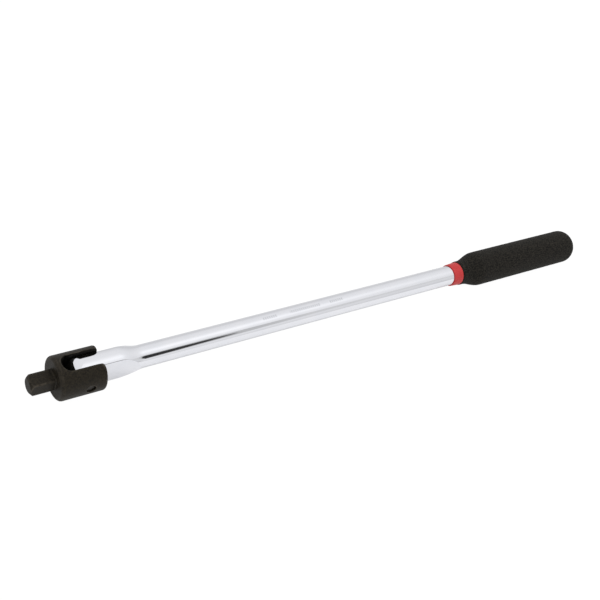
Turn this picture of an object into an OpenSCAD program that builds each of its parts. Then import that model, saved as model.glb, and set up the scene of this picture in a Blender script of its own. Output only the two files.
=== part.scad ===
// Breaker bar: a long chromed lever with a foam grip at one end and, at the
// other, a forged fork head that ends in a square drive and swivels on a pin.
// +X runs from the drive's end face to the grip, +Y along the hinge pin, +Z up.
// The origin is the centre of the drive square's end face.

/* [Overall] */
// Length from the drive's end face to the end of the grip
total_length = 600; // [450:1:800]

/* [Drive square] */
// Width across the flats of the drive square
drive_size = 12.7; // [12:0.1:15.3]
// Length of the square from its end face to the head's shoulder
drive_length = 20; // [16:0.5:26]
// Diameter to which the square's corners are turned
drive_corner_d = 17; // [15.5:0.1:20]
// Diameter left flat on the end face inside the lead-in chamfer
drive_tip_d = 11.4; // [8:0.1:13.5]
// Length of the conical lead-in chamfer
drive_chamfer = 2.2; // [0.5:0.1:3.5]

/* [Fork head] */
// Diameter of the round fork head
head_d = 36; // [34:0.5:46]
// Thickness of the solid web between the shoulder and the slot
head_web = 5; // [4:0.5:14]
// Radius of the head's rounded front edge
head_front_r = 3; // [0.5:0.1:4]
// Radius of the rounded outer edge at the ends of the ears
head_rear_r = 2; // [0.5:0.1:4]
// Distance that the ears reach past the hinge pin's axis
ear_reach = 13.8; // [9:0.1:16]
// Corner radius of the ears seen from the side
ear_corner_r = 5.5; // [2:0.5:9]
// Radius of the two inside corners at the slot's bottom
slot_corner_r = 6.5; // [1:0.1:7]

/* [Hinge] */
// Diameter of the hinge pin
pin_d = 7.6; // [5:0.1:10]
// Depth of each pin end below the head's surface
pin_recess = 1.8; // [0.5:0.1:3]
// Chamfer on the ends of the pin
pin_chamfer = 0.6; // [0.2:0.1:1.5]
// Running clearance between the pin and the tongue's bore, on the radius
pin_play = 0.05; // [0.02:0.01:0.1]
// Thickness of the lever's flat tongue between the ears
tongue_thickness = 14.2; // [12:0.1:17]
// Clearance between each side of the tongue and its ear
tongue_play = 0.2; // [0.1:0.05:0.5]
// Radius of the tongue's round end and of its curved top and bottom
tongue_r = 13.7; // [12:0.1:16]
// Gap between the tongue's round end and the slot's bottom
tongue_gap = 5.5; // [2:0.1:7]

/* [Lever] */
// Diameter of the lever's round shank
shank_d = 19; // [16:0.5:24]
// Distance from the hinge pin's axis to where the tongue starts to narrow
tongue_length = 27.8; // [26:0.1:40]
// Length of the neck between the tongue and the round shank
neck_length = 22; // [14:0.5:40]
// Radius of the cutter that runs the tongue's flat sides out into the shank
flat_runout_r = 60; // [30:1:120]
// Chamfer on the shank's end inside the grip
shank_chamfer = 1; // [0.5:0.1:3]

/* [Socket detent] */
// Diameter of the ball that holds a socket
socket_ball_d = 5; // [4:0.1:5.5]
// Distance from the drive's end face to the ball's axis
socket_ball_x = 8; // [6.5:0.1:10]
// Depth of the blind hole for the ball and its spring
socket_hole_depth = 9.6; // [8:0.1:10.5]
// Width of the staked lip that keeps the ball in, on the radius
socket_lip = 0.15; // [0.1:0.01:0.4]
// Height of the staked lip
socket_lip_height = 0.3; // [0.2:0.05:0.6]

/* [Friction plunger] */
// Diameter of the guided part of the plunger that steadies the head
plunger_d = 5; // [4:0.1:6]
// Length of the guided part of the plunger
plunger_guide_length = 3; // [2:0.1:5]
// Diameter of the plunger's nose, which passes the staked lip
plunger_nose_d = 4; // [2.5:0.1:4.6]
// Radius to which the tip of the nose is rounded
plunger_tip_r = 3; // [2.5:0.1:6]
// Length of the staked lip at the mouth of the plunger's hole
plunger_lip = 1; // [0.6:0.1:2]
// Distance between the plunger's nose and the slot's bottom
plunger_gap = 0.15; // [0.05:0.01:0.4]
// Length of the plunger's spring as fitted
plunger_spring_length = 3.5; // [2.5:0.1:4]

/* [Springs and fits] */
// Wire diameter of both springs
spring_wire_d = 0.5; // [0.3:0.05:0.7]
// Number of turns of the socket ball's spring
socket_spring_turns = 5; // [3:0.5:8]
// Number of turns of the plunger's spring
plunger_spring_turns = 3; // [2:0.5:4]
// Sliding clearance of a ball, a plunger or a spring in its hole, on the radius
slide_play = 0.06; // [0.03:0.01:0.1]
// Distance kept between a spring's end and what it pushes on
spring_end_play = 0.1; // [0.05:0.01:0.3]

/* [Grip] */
// Length of the foam grip
grip_length = 161; // [110:1:220]
// Diameter of the foam grip
grip_d = 33.6; // [28:0.1:42]
// Thickness of foam round the lever at the grip's neck
grip_neck_wall = 2.15; // [1.5:0.05:4]
// Length of the straight neck before the shoulder
grip_neck_length = 4; // [2:0.5:10]
// Length of the grip's curved shoulder
grip_shoulder_length = 22; // [12:1:40]
// Radius of the rounded end of the grip
grip_end_r = 13; // [6:0.5:16]
// Thickness of foam beyond the lever's end
grip_end_wall = 10; // [6:0.5:20]
// Radius on the rim of the grip's mouth
grip_rim_r = 1; // [0.3:0.1:2]
// Glue gap between the lever and what is pushed onto it, on the radius
glue_gap = 0.05; // [0.02:0.01:0.15]

/* [Ring] */
// Length of the coloured ring in front of the grip
ring_length = 11; // [6:0.5:20]
// Thickness of the ring at the end towards the head
ring_front_wall = 0.9; // [0.8:0.05:2.5]
// Thickness of the ring at the end towards the grip
ring_rear_wall = 1.6; // [0.9:0.05:3]
// Radius on the ring's two outer edges
ring_edge_r = 0.6; // [0.1:0.05:0.8]

/* [Hidden] */

$fn = 96;
cut = 1;                  // how far a cutting solid runs past the face it cuts
curve_steps = 24;         // straight steps in a drawn S-curve
coil_steps = 16;          // rings of a spring's wire in one turn
wire_sides = 8;           // sides of a spring's wire
root_overlap = 0.5;       // depth to which the square is rooted in the head

head_r = head_d / 2;
shank_r = shank_d / 2;
grip_r = grip_d / 2;
pin_r = pin_d / 2;

slot_width = tongue_thickness + 2 * tongue_play;
slot_x = drive_length + head_web;
tongue_start_x = slot_x + tongue_gap;
pin_x = tongue_start_x + tongue_r;
ear_end_x = pin_x + ear_reach;
ear_top_z = sqrt(head_r * head_r - slot_width * slot_width / 4);
neck_start_x = pin_x + tongue_length;
pin_half_length = head_r - pin_recess;

grip_start_x = total_length - grip_length;
shank_end_x = total_length - grip_end_wall;
ring_start_x = grip_start_x - ring_length;

// the ball rests against the staked lip at the mouth of its hole
socket_ball_r = socket_ball_d / 2;
socket_hole_r = socket_ball_r + slide_play;
socket_lip_r = socket_ball_r - socket_lip;
ball_seat = sqrt(socket_ball_r * socket_ball_r - socket_lip_r * socket_lip_r);
socket_ball_z = -drive_size / 2 + socket_lip_height + ball_seat + slide_play;
socket_hole_top_z = -drive_size / 2 + socket_hole_depth;
socket_spring_z = socket_ball_z + socket_ball_r + spring_end_play;
socket_spring_length = socket_hole_top_z - spring_end_play - socket_spring_z;

// the plunger's nose stands out of the tongue's round end, past a staked lip
plunger_x = slot_x + plunger_gap;
plunger_r = plunger_d / 2;
plunger_nose_r = plunger_nose_d / 2;
plunger_lip_end_x = tongue_start_x + plunger_lip;
plunger_guide_x = plunger_lip_end_x + slide_play;
plunger_end_x = plunger_guide_x + plunger_guide_length;
plunger_spring_x = plunger_end_x + spring_end_play;
plunger_hole_end_x = plunger_spring_x + plunger_spring_length + spring_end_play;

// S-curve from 0 to 1 as t runs from 0 to 1, level at both ends
function s_curve(t) = (1 - cos(180 * t)) / 2;

// turns a solid made along +Z so that it runs along +X
module along_x() { rotate([0, 90, 0]) children(); }

// turns an outline drawn in X and Z into a plate centred on Y
module side_plate(width) {
    rotate([90, 0, 0]) linear_extrude(width, center = true) children();
}

// half outline of a round bar: x1 to x2 along the axis, with rounded outer edges
module rounded_half(x1, x2, r, edge1, edge2) {
    difference() {
        translate([0, x1]) square([r, x2 - x1]);
        translate([r - edge1, x1]) edge_waste(edge1, -1);
        translate([r - edge2, x2]) edge_waste(edge2, 1);
    }
}

// what a rounding of radius e takes off a square outer corner
module edge_waste(e, side) {
    difference() {
        translate([0, side > 0 ? -e : -cut]) square([e + cut, e + cut]);
        translate([0, -side * e]) circle(r = e);
    }
}

// helical spring along +Z with its lower end at z = 0
module coil_spring(outer_r, wire_d, length, turns) {
    coil_r = outer_r - wire_d / 2;
    rise = length - wire_d;
    rings = turns * coil_steps;
    slope = atan(rise / (turns * 2 * PI * coil_r));
    points = [
        for (i = [0 : rings], j = [0 : wire_sides - 1])
            let (turn = 360 * i / coil_steps,
                 side = 360 * j / wire_sides,
                 out = coil_r + wire_d / 2 * cos(side),
                 lift = wire_d / 2 * sin(side) * cos(slope),
                 back = wire_d / 2 * sin(side) * sin(slope))
            [out * cos(turn) + back * sin(turn),
             out * sin(turn) - back * cos(turn),
             wire_d / 2 + rise * i / rings + lift]
    ];
    walls = [
        for (i = [0 : rings - 1], j = [0 : wire_sides - 1], half = [0, 1])
            let (a = i * wire_sides + j,
                 b = i * wire_sides + (j + 1) % wire_sides)
            half == 0 ? [a, a + wire_sides, b] : [a + wire_sides, b + wire_sides, b]
    ];
    start_cap = [for (j = [0 : wire_sides - 1]) j];
    end_cap = [for (j = [wire_sides - 1 : -1 : 0]) rings * wire_sides + j];
    polyhedron(points, concat(walls, [start_cap, end_cap]));
}

// drive square with turned corners and a conical lead-in
module drive_square() {
    intersection() {
        translate([0, -drive_size / 2, -drive_size / 2])
            cube([drive_length + root_overlap, drive_size, drive_size]);
        along_x() union() {
            cylinder(h = drive_chamfer, d1 = drive_tip_d, d2 = drive_corner_d);
            translate([0, 0, drive_chamfer])
                cylinder(h = drive_length - drive_chamfer + root_overlap, d = drive_corner_d);
        }
    }
}

// the ears' shape seen from the side, with rounded corners
module ear_outline() {
    height = 2 * head_r;
    intersection_for (side = [-1, 1])
        union() {
            translate([0, side > 0 ? -height : -ear_top_z + ear_corner_r])
                square([ear_end_x, height + ear_top_z - ear_corner_r]);
            translate([0, side > 0 ? -height : -height])
                square([ear_end_x - ear_corner_r, 2 * height]);
            translate([ear_end_x - ear_corner_r, side * (ear_top_z - ear_corner_r)])
                circle(r = ear_corner_r);
        }
}

// the slot's outline seen from above, with rounded inside corners
module slot_outline() {
    half = slot_width / 2;
    translate([slot_x + slot_corner_r, -half])
        square([ear_end_x - slot_x, slot_width]);
    translate([slot_x, -half + slot_corner_r])
        square([slot_corner_r + cut, slot_width - 2 * slot_corner_r]);
    for (side = [-1, 1])
        translate([slot_x + slot_corner_r, side * (half - slot_corner_r)])
            circle(r = slot_corner_r);
}

// blind hole for the socket ball, narrowed by a staked lip at its mouth
module socket_hole() {
    translate([socket_ball_x, 0, -drive_size / 2 - cut])
        cylinder(h = cut + socket_hole_depth, r = socket_lip_r);
    translate([socket_ball_x, 0, -drive_size / 2 + socket_lip_height])
        cylinder(h = socket_hole_depth - socket_lip_height, r = socket_hole_r);
}

// forged fork: round shoulder, two ears about a slot, and the drive square
module drive_head() {
    color("#3A3631")
    difference() {
        union() {
            intersection() {
                along_x() rotate_extrude()
                    rounded_half(drive_length, ear_end_x, head_r, head_front_r, head_rear_r);
                side_plate(2 * head_r + 2 * cut) ear_outline();
            }
            drive_square();
        }
        translate([0, 0, -head_r - cut])
            linear_extrude(2 * head_r + 2 * cut) slot_outline();
        translate([pin_x, 0, 0]) rotate([90, 0, 0])
            cylinder(h = 2 * head_r + 2 * cut, r = pin_r, center = true);
        socket_hole();
    }
}

// pin pressed into both ears, through the tongue's bore
module hinge_pin() {
    color("#8B8D90")
    translate([pin_x, 0, 0]) rotate([90, 0, 0]) union() {
        cylinder(h = 2 * (pin_half_length - pin_chamfer), r = pin_r, center = true);
        for (side = [-1, 1])
            rotate([side > 0 ? 0 : 180, 0, 0])
                translate([0, 0, pin_half_length - pin_chamfer])
                    cylinder(h = pin_chamfer, r1 = pin_r, r2 = pin_r - pin_chamfer);
    }
}

// steel ball that stands out of the drive square and grips a socket
module socket_ball() {
    color("#B9BCC0")
    translate([socket_ball_x, 0, socket_ball_z]) sphere(r = socket_ball_r);
}

// spring behind the socket ball
module socket_ball_spring() {
    color("#9A9C9F")
    translate([socket_ball_x, 0, socket_spring_z])
        coil_spring(socket_ball_r - slide_play, spring_wire_d,
                    socket_spring_length, socket_spring_turns);
}

// half outline of the lever: tongue radius, S-curved neck, round shank
module lever_half() {
    neck = [
        for (i = [0 : curve_steps])
            let (t = i / curve_steps)
            [tongue_r + (shank_r - tongue_r) * s_curve(t), neck_start_x + neck_length * t]
    ];
    polygon(concat(
        [[0, tongue_start_x], [tongue_r, tongue_start_x]],
        neck,
        [[shank_r, shank_end_x - shank_chamfer],
         [shank_r - shank_chamfer, shank_end_x],
         [0, shank_end_x]]));
}

// what is milled off the tongue's sides, seen from above: straight past the
// ears, then a long round run-out
module tongue_waste() {
    half = tongue_thickness / 2;
    for (side = [-1, 1]) {
        translate([0, side > 0 ? half : -half - flat_runout_r])
            square([neck_start_x, flat_runout_r]);
        translate([neck_start_x, side * (half + flat_runout_r)])
            circle(r = flat_runout_r, $fn = 240);
    }
}

// chromed lever: bored flat tongue, neck and round shank in one forging
module lever_bar() {
    color("#D6D8DC")
    difference() {
        intersection() {
            along_x() rotate_extrude() lever_half();
            side_plate(2 * tongue_r + 2 * cut) union() {
                translate([pin_x, 0]) circle(r = tongue_r);
                translate([pin_x, -tongue_r - cut])
                    square([total_length - pin_x, 2 * (tongue_r + cut)]);
            }
        }
        translate([0, 0, -tongue_r - cut])
            linear_extrude(2 * tongue_r + 2 * cut) tongue_waste();
        translate([pin_x, 0, 0]) rotate([90, 0, 0])
            cylinder(h = tongue_thickness + 2 * cut, r = pin_r + pin_play, center = true);
        translate([slot_x, 0, 0]) along_x()
            cylinder(h = plunger_hole_end_x - slot_x, r = plunger_nose_r + slide_play);
        translate([plunger_lip_end_x, 0, 0]) along_x()
            cylinder(h = plunger_hole_end_x - plunger_lip_end_x, r = plunger_r + slide_play);
    }
}

// round-nosed plunger that presses on the bottom of the slot
module friction_plunger() {
    nose_length = plunger_end_x - plunger_x;
    color("#A7A9AC")
    union() {
        intersection() {
            translate([plunger_x, 0, 0]) along_x()
                cylinder(h = nose_length, r = plunger_nose_r);
            translate([plunger_x + plunger_tip_r, 0, 0]) union() {
                sphere(r = plunger_tip_r);
                along_x() cylinder(h = nose_length, r = plunger_tip_r);
            }
        }
        translate([plunger_guide_x, 0, 0]) along_x()
            cylinder(h = plunger_guide_length, r = plunger_r);
    }
}

// spring behind the friction plunger
module plunger_spring() {
    color("#9A9C9F")
    translate([plunger_spring_x, 0, 0]) along_x()
        coil_spring(plunger_r - slide_play, spring_wire_d,
                    plunger_spring_length, plunger_spring_turns);
}

// coloured ring that closes the front of the grip
module grip_ring() {
    bore_r = shank_r + glue_gap;
    front_r = bore_r + ring_front_wall;
    rear_r = bore_r + ring_rear_wall;
    color("#D23C3C")
    translate([ring_start_x, 0, 0]) along_x() rotate_extrude()
        polygon([[bore_r, 0],
                 [front_r - ring_edge_r, 0],
                 [front_r, ring_edge_r],
                 [rear_r, ring_length - ring_edge_r],
                 [rear_r - ring_edge_r, ring_length],
                 [bore_r, ring_length]]);
}

// foam grip: neck, S-curved shoulder, straight body and a closed round end
module foam_grip() {
    bore_r = shank_r + glue_gap;
    neck_r = bore_r + grip_neck_wall;
    shoulder_x = grip_start_x + grip_neck_length;
    shoulder = [
        for (i = [0 : curve_steps])
            let (t = i / curve_steps)
            [neck_r + (grip_r - neck_r) * s_curve(t), shoulder_x + grip_shoulder_length * t]
    ];
    color("#2A2824")
    along_x() rotate_extrude() difference() {
        union() {
            polygon(concat(
                [[0, grip_start_x + grip_rim_r], [neck_r, grip_start_x + grip_rim_r]],
                shoulder,
                [[grip_r, total_length - grip_end_r], [0, total_length - grip_end_r]]));
            translate([0, grip_start_x]) square([neck_r - grip_rim_r, 2 * grip_rim_r]);
            translate([neck_r - grip_rim_r, grip_start_x + grip_rim_r]) circle(r = grip_rim_r);
            translate([0, total_length - 2 * grip_end_r])
                square([grip_r - grip_end_r, 2 * grip_end_r]);
            translate([grip_r - grip_end_r, total_length - grip_end_r]) circle(r = grip_end_r);
        }
        translate([0, grip_start_x - cut])
            square([bore_r, shank_end_x + glue_gap - grip_start_x + cut]);
        translate([-2 * grip_r, 0]) square([2 * grip_r, total_length + cut]);
    }
}

drive_head();
hinge_pin();
socket_ball();
socket_ball_spring();
lever_bar();
friction_plunger();
plunger_spring();
grip_ring();
foam_grip();
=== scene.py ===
"""Looks of a half-inch breaker bar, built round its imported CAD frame.

The tool is three sub-assemblies: the forged swivel head with its pin, ball and ball spring; the
chromed lever with the plunger that gives the joint its drag; and the foam grip with its ring.
Everything is in metres in the CAD frame: +X runs from the drive square to the grip, Y is the axis
of the hinge pin and +Z is up. Shapes are worked out in millimetres and scaled once, in MeshMaker.
"""
import logging
import math
from dataclasses import dataclass, field
from enum import Enum
from functools import cache
from typing import Callable, Sequence

import bpy
import numpy as np
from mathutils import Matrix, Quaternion, Vector


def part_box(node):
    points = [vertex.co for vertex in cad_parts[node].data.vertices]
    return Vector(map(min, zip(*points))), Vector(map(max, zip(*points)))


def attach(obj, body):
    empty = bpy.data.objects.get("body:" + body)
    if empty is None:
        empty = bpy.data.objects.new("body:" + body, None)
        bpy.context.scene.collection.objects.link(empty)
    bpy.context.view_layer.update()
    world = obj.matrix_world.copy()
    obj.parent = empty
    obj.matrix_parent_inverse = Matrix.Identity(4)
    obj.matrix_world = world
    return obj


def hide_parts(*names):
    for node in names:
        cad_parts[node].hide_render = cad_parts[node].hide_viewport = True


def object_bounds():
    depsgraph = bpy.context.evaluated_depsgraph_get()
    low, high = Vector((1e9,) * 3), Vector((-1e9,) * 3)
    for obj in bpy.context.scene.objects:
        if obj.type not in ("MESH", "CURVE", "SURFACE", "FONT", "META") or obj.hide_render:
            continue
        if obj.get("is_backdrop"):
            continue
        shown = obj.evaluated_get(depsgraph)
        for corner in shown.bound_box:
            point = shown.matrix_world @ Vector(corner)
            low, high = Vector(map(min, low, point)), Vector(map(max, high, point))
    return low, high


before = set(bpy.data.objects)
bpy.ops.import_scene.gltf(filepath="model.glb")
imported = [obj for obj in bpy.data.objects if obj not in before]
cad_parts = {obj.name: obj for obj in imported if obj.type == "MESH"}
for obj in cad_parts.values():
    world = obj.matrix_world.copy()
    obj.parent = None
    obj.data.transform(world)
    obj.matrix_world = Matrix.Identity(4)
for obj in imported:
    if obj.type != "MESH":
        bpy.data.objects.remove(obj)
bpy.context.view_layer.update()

log = logging.getLogger("breaker_bar")

MM = 0.001


# --------------------------------------------------------------------------- small tools


def node_span(node: str) -> tuple[np.ndarray, np.ndarray]:
    """Lowest and highest corner of a CAD node, in millimetres.

    Args:
        node: name of the CAD node.

    Returns:
        The two corners as arrays of three numbers.
    """
    low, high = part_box(node)
    return np.array(low) / MM, np.array(high) / MM


def linear(hex_colour: str) -> tuple[float, float, float, float]:
    """Turns an sRGB hex colour into the linear colour that shaders take.

    Args:
        hex_colour: six hex digits, with or without a leading #.

    Returns:
        Red, green, blue and an alpha of one.
    """
    digits = hex_colour.lstrip("#")
    parts = [int(digits[i:i + 2], 16) / 255 for i in (0, 2, 4)]
    channels = [p / 12.92 if p <= 0.04045 else ((p + 0.055) / 1.055) ** 2.4 for p in parts]
    return channels[0], channels[1], channels[2], 1.0


def plug(tree: bpy.types.NodeTree, node: bpy.types.Node, inputs: dict) -> None:
    """Fills or links sockets of a node.

    Args:
        tree: the node's tree.
        node: the node.
        inputs: socket name or number to a value, or to the output socket that feeds it.
    """
    for key, value in inputs.items():
        if isinstance(value, bpy.types.NodeSocket):
            tree.links.new(value, node.inputs[key])
        else:
            node.inputs[key].default_value = value


def add_node(tree: bpy.types.NodeTree, kind: str, inputs: dict | None = None,
             **settings: object) -> bpy.types.Node:
    """Adds one node, sets its properties and fills or links its sockets.

    Args:
        tree: the tree that the node joins.
        kind: Blender's name for the node type.
        inputs: what goes into its sockets, as plug takes it.
        **settings: properties of the node itself.

    Returns:
        The new node.
    """
    node = tree.nodes.new(kind)
    for name, value in settings.items():
        setattr(node, name, value)
    plug(tree, node, inputs or {})
    return node


def linked(name: str, data: bpy.types.ID) -> bpy.types.Object:
    """Makes an object and puts it in the scene.

    Args:
        name: name of the object.
        data: its mesh, light or camera.

    Returns:
        The new object.
    """
    obj = bpy.data.objects.new(name, data)
    bpy.context.scene.collection.objects.link(obj)
    return obj


def smooth_min(a: np.ndarray, b: np.ndarray, radius: float) -> np.ndarray:
    """Union of two distance fields with a fillet.

    Args:
        a: first field.
        b: second field.
        radius: size of the fillet.

    Returns:
        The joined field.
    """
    h = np.maximum(radius - np.abs(a - b), 0) / radius
    return np.minimum(a, b) - h * h * radius / 4


def smooth_max(a: np.ndarray, b: np.ndarray, radius: float) -> np.ndarray:
    """Intersection of two distance fields with a rounded edge, the mirror of smooth_min.

    Args:
        a: first field.
        b: second field.
        radius: size of the rounding.

    Returns:
        The common field.
    """
    return -smooth_min(-a, -b, radius)


def rounded_rectangle(u: np.ndarray, v: np.ndarray, radius: float) -> np.ndarray:
    """Distance to a rectangle's corner region with rounded corners.

    Args:
        u: distance past the first side, in millimetres.
        v: distance past the second side, in millimetres.
        radius: radius of the corner between them.

    Returns:
        Signed distance, negative inside.
    """
    u, v = u + radius, v + radius
    return np.hypot(np.maximum(u, 0), np.maximum(v, 0)) + np.minimum(np.maximum(u, v), 0) - radius


def rounded_path(corners: Sequence[tuple[float, float, float]], steps: int = 6) -> np.ndarray:
    """A polyline whose corners are rounded.

    Args:
        corners: first number, second number and rounding radius of each corner, in order.
        steps: straight steps in each rounded corner.

    Returns:
        Points of the path, one row each.
    """
    points = [np.array(corners[0][:2], float)]
    for before, here, after in zip(corners, corners[1:], corners[2:]):
        corner = np.array(here[:2], float)
        back, ahead = np.array(before[:2]) - corner, np.array(after[:2]) - corner
        back, ahead = back / np.linalg.norm(back), ahead / np.linalg.norm(ahead)
        if here[2] <= 0:
            points.append(corner)
            continue
        half = math.acos(float(np.clip(back @ ahead, -1, 1))) / 2
        reach = here[2] / math.tan(half)
        middle = corner + (back + ahead) / np.linalg.norm(back + ahead) * here[2] / math.sin(half)
        start, end = corner + back * reach - middle, corner + ahead * reach - middle
        sweep = math.pi - 2 * half
        for i in range(steps + 1):
            t = i / steps
            points.append(middle + (math.sin((1 - t) * sweep) * start
                                    + math.sin(t * sweep) * end) / math.sin(sweep))
    points.append(np.array(corners[-1][:2], float))
    return np.array(points)


class Axis(Enum):
    """Line that a turned piece is turned about."""

    ALONG = "x"
    ACROSS = "y"
    UPRIGHT = "z"


class MeshMaker:
    """Turns points in millimetres into Blender meshes that sit at the origin."""

    @staticmethod
    def piece(name: str, points: np.ndarray, faces: Sequence[Sequence[int]],
              sharp_angle: float = 40.0) -> bpy.types.Object:
        """Makes a mesh object with smooth faces and sharp edges where it turns hard.

        Args:
            name: name of the piece.
            points: corners in millimetres, one row each.
            faces: corner numbers of each face, seen from outside in anticlockwise order.
            sharp_angle: edges that turn more than this, in degrees, stay sharp.

        Returns:
            The new object, linked to the scene.
        """
        mesh = bpy.data.meshes.new(name)
        mesh.from_pydata((np.asarray(points, float) * MM).tolist(), [], [list(f) for f in faces])
        mesh.validate()
        mesh.shade_smooth()
        mesh.set_sharp_from_angle(angle=math.radians(sharp_angle))
        return linked(name, mesh)

    @staticmethod
    def turned(name: str, profile: np.ndarray, centre: Sequence[float], axis: Axis,
               segments: int = 96, ring: bool = False, sharp_angle: float = 40.0
               ) -> bpy.types.Object:
        """Makes a turned solid from a profile of place along the axis and radius.

        Args:
            name: name of the piece.
            profile: rows of place along the axis and radius, in millimetres.
            centre: point that place zero of the profile stands on.
            axis: the line that it is turned about.
            segments: sides of the turned shape.
            ring: true if the profile is a closed loop that never meets the axis.
            sharp_angle: edges that turn more than this, in degrees, stay sharp.

        Returns:
            The new object.
        """
        angles = np.arange(segments) * 2 * math.pi / segments
        body = profile if ring else profile[1:-1]
        rows = [np.column_stack([np.full(segments, place), r * np.cos(angles), r * np.sin(angles)])
                for place, r in body]
        count = len(rows)
        points = np.concatenate(rows)
        faces = []
        for i in range(count if ring else count - 1):
            j = (i + 1) % count
            for k in range(segments):
                m = (k + 1) % segments
                faces.append((i * segments + k, i * segments + m, j * segments + m,
                              j * segments + k))
        if not ring:
            poles = np.array([[profile[0][0], 0, 0], [profile[-1][0], 0, 0]])
            first, last = len(points), len(points) + 1
            points = np.concatenate([points, poles])
            base = (count - 1) * segments
            for k in range(segments):
                m = (k + 1) % segments
                faces.append((first, m, k))
                faces.append((last, base + k, base + m))
        order = {Axis.ALONG: (0, 1, 2), Axis.ACROSS: (2, 0, 1), Axis.UPRIGHT: (1, 2, 0)}[axis]
        points = points[:, order] + np.array(centre, float)
        piece = MeshMaker.piece(name, points, faces, sharp_angle)
        MeshMaker.face_outwards(piece)
        return piece

    @staticmethod
    def face_outwards(piece: bpy.types.Object) -> None:
        """Turns every face of a closed mesh outwards.

        Args:
            piece: object whose mesh is one closed shell.
        """
        mesh = piece.data
        mesh.calc_loop_triangles()
        points = np.zeros(len(mesh.vertices) * 3)
        mesh.vertices.foreach_get("co", points)
        points = points.reshape(-1, 3)
        corners = np.zeros(len(mesh.loop_triangles) * 3, int)
        mesh.loop_triangles.foreach_get("vertices", corners)
        a, b, c = (points[corners.reshape(-1, 3)[:, i]] for i in range(3))
        if np.einsum("ij,ij->", a, np.cross(b, c)) < 0:
            mesh.flip_normals()

    @staticmethod
    def cut(piece: bpy.types.Object, tools: Sequence[bpy.types.Object],
            sharp_angle: float = 35.0) -> None:
        """Cuts holes in a piece and throws the cutting solids away.

        Args:
            piece: the piece that is drilled.
            tools: closed solids that are taken out of it.
            sharp_angle: edges that turn more than this, in degrees, stay sharp.
        """
        for tool in tools:
            step = piece.modifiers.new("drill", "BOOLEAN")
            step.operation, step.solver, step.object = "DIFFERENCE", "EXACT", tool
        view = bpy.context.evaluated_depsgraph_get()
        drilled = bpy.data.meshes.new_from_object(piece.evaluated_get(view))
        piece.modifiers.clear()
        piece.data = drilled
        drilled.name = piece.name
        drilled.shade_smooth()
        drilled.set_sharp_from_angle(angle=math.radians(sharp_angle))
        for tool in tools:
            bpy.data.objects.remove(tool)

    @staticmethod
    def skin(name: str, distance: Callable[[np.ndarray], np.ndarray], low: Sequence[float],
             high: Sequence[float], step: float) -> bpy.types.Object:
        """Makes the surface where a distance field is zero, with its corners set on it.

        Args:
            name: name of the piece.
            distance: field that takes rows of points in millimetres, negative inside.
            low: lowest corner of the space that is searched.
            high: highest corner of that space.
            step: side of a cell, in millimetres.

        Returns:
            The new object, with the bend of its surface in the attribute edge_bend.
        """
        axes = [np.arange(a, b + step, step) for a, b in zip(low, high)]
        grid = np.stack(np.meshgrid(*axes, indexing="ij"), -1)
        values = distance(grid.reshape(-1, 3)).reshape(grid.shape[:3])
        nx, ny, nz = (n - 1 for n in values.shape)
        inside = values < 0
        steps = [(i, j, k) for i in (0, 1) for j in (0, 1) for k in (0, 1)]
        block = {s: (slice(s[0], s[0] + nx), slice(s[1], s[1] + ny), slice(s[2], s[2] + nz))
                 for s in steps}
        filled = sum(inside[block[s]].astype(int) for s in steps)
        active = (filled > 0) & (filled < 8)
        number = np.full(active.shape, -1)
        number[active] = np.arange(active.sum())
        total, crossings = np.zeros((active.sum(), 3)), np.zeros(active.sum())
        for s in steps:
            for d in range(3):
                if s[d]:
                    continue
                e = tuple(1 if i == d else s[i] for i in range(3))
                a, b = values[block[s]][active], values[block[e]][active]
                hit = (a < 0) != (b < 0)
                t = np.where(hit, a / np.where(hit, a - b, 1), 0)
                place = np.tile(np.array(s, float), (len(a), 1))
                place[:, d] += t
                total += place * hit[:, None]
                crossings += hit
        cell = np.argwhere(active)
        points = np.array(low, float) + (cell + total / crossings[:, None]) * step
        for _ in range(4):
            points = MeshMaker.settled(points, distance, step)
        faces = []
        for d in range(3):
            u, v = (d + 1) % 3, (d + 2) % 3
            inner = [slice(1, n) for n in (nx, ny, nz)]
            inner[d] = slice(0, (nx, ny, nz)[d])
            near = inside[tuple(inner)]
            ahead = list(inner)
            ahead[d] = slice(inner[d].start + 1, inner[d].stop + 1)
            far = inside[tuple(ahead)]
            spot = np.argwhere(near != far)
            leaving = near[tuple(spot.T)]
            spot = spot + [0 if i == d else 1 for i in range(3)]
            ring = []
            for du, dv in ((1, 1), (0, 1), (0, 0), (1, 0)):
                at = spot.copy()
                at[:, u] -= du
                at[:, v] -= dv
                ring.append(number[tuple(at.T)])
            quad = np.stack(ring, 1)
            quad[~leaving] = quad[~leaving][:, ::-1]
            faces.append(quad)
        quads = np.concatenate(faces)
        piece = MeshMaker.piece(name, points, quads.tolist(), 180.0)
        MeshMaker.face_outwards(piece)
        MeshMaker.note_bend(piece, points, quads)
        return piece

    @staticmethod
    def settled(points: np.ndarray, distance: Callable[[np.ndarray], np.ndarray],
                reach: float) -> np.ndarray:
        """Moves points onto the surface of a distance field, one step.

        Args:
            points: rows of points in millimetres.
            distance: the field.
            reach: furthest that a point may move in the step.

        Returns:
            The moved points.
        """
        tiny = 1e-3
        slope = np.stack([(distance(points + tiny * axis) - distance(points - tiny * axis))
                          / (2 * tiny) for axis in np.eye(3)], 1)
        size = np.maximum(np.einsum("ij,ij->i", slope, slope), 0.1)
        move = np.clip(distance(points) / size, -reach / 2, reach / 2)
        return points - slope * move[:, None]

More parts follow.
